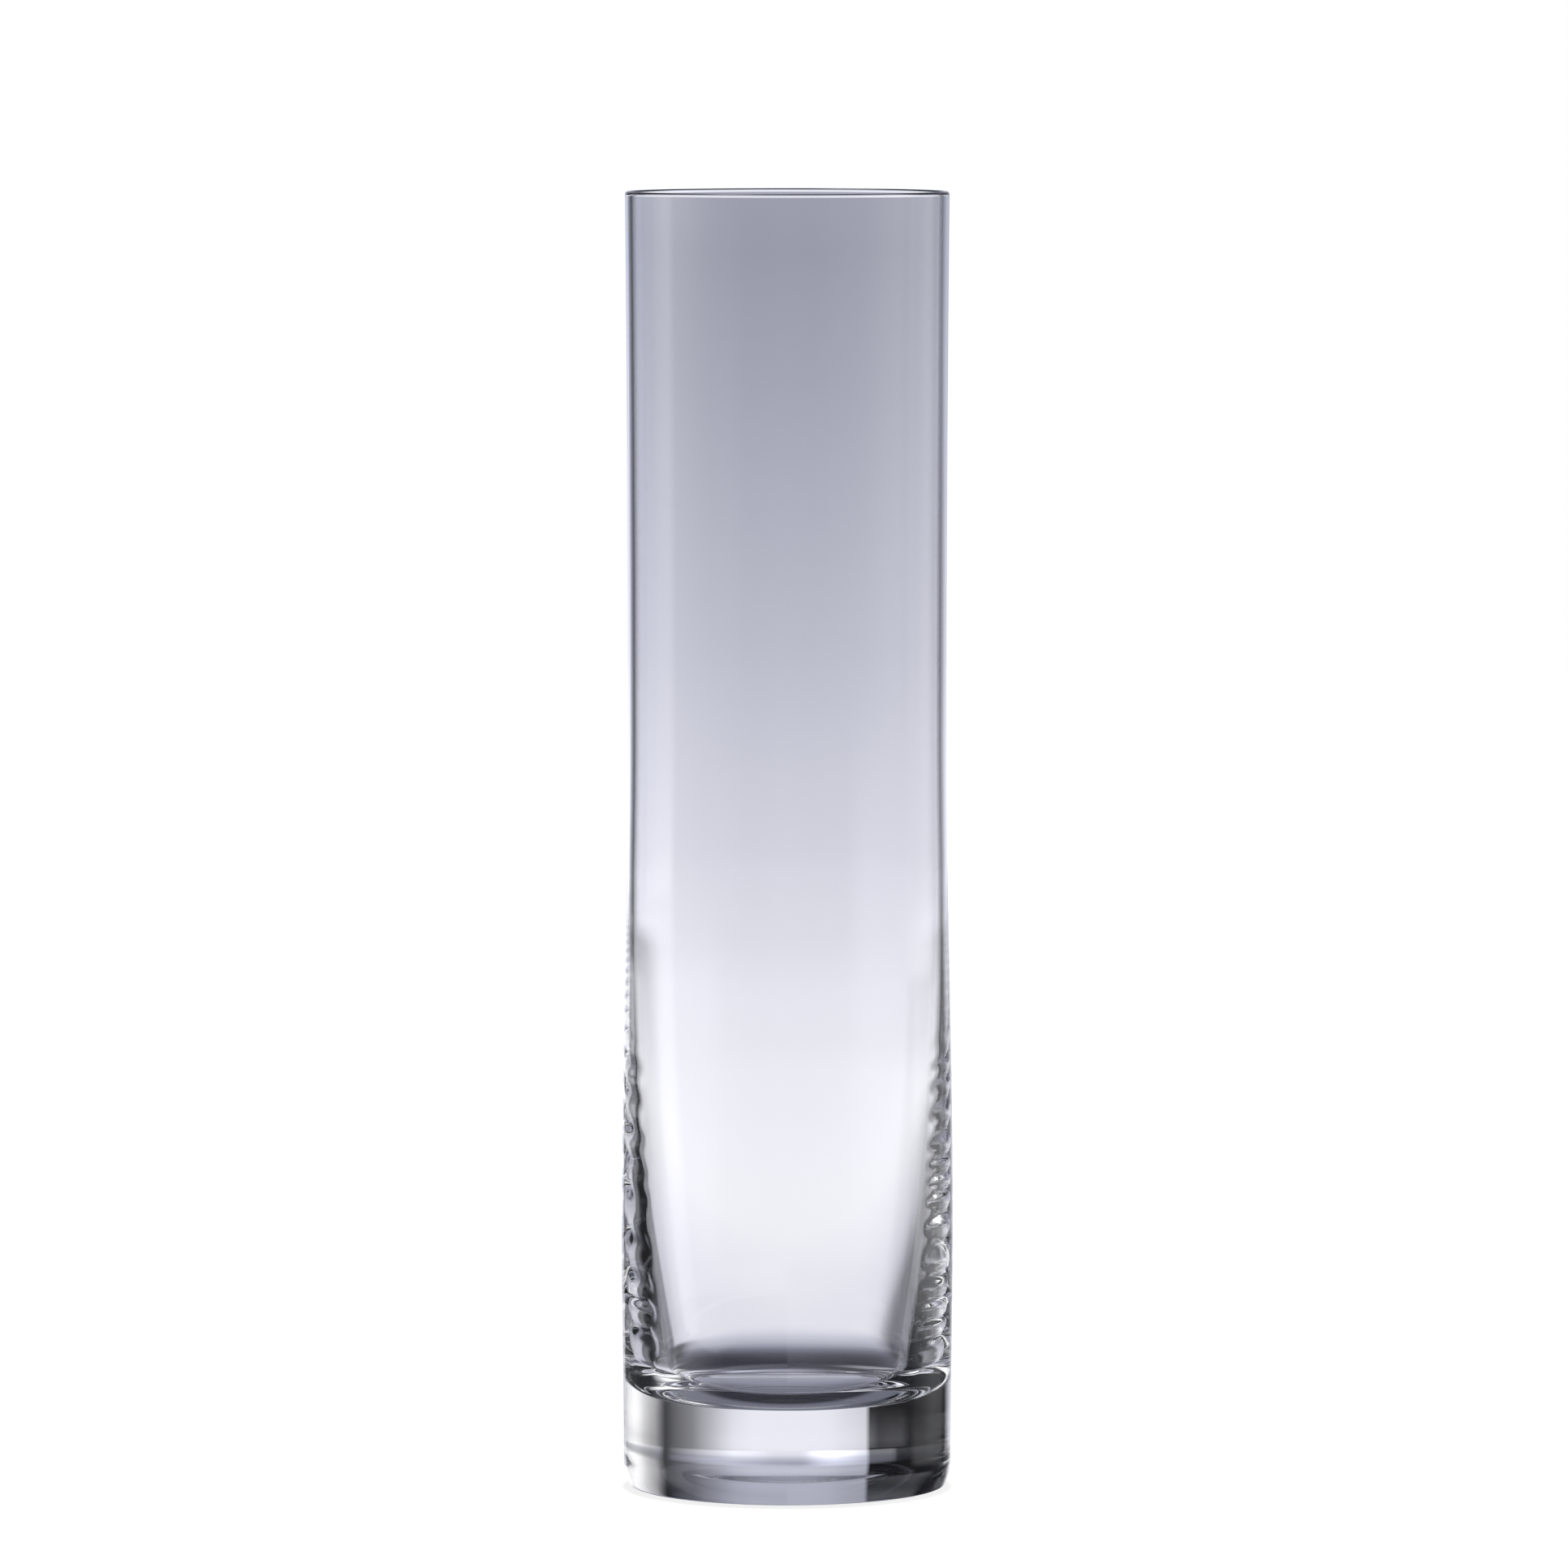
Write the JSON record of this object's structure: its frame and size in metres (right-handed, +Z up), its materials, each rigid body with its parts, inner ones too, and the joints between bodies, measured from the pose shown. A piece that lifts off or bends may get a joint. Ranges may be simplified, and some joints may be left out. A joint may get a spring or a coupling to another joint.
{
  "type": "glass cylinder vase",
  "caption": "Tall slender cylinder vase of clear glass with a thin wall, a round fire-polished lip, a slight waist and a heavy solid base, for holding cut flowers in water.",
  "frame": {"origin": "on the vase's axis, at the level of the flat underside that it stands on", "axes": "+Z up along the axis, from the base to the mouth; the vase is round, so X and Y are any two level directions"},
  "size_m": [0.077, 0.077, 0.3],
  "materials": {
    "clear_glass": "clear, colourless and polished"
  },
  "bodies": {
    "root": {"base": "clear_glass", "wall": "clear_glass", "rim": "clear_glass"}
  },
  "joints": []
}
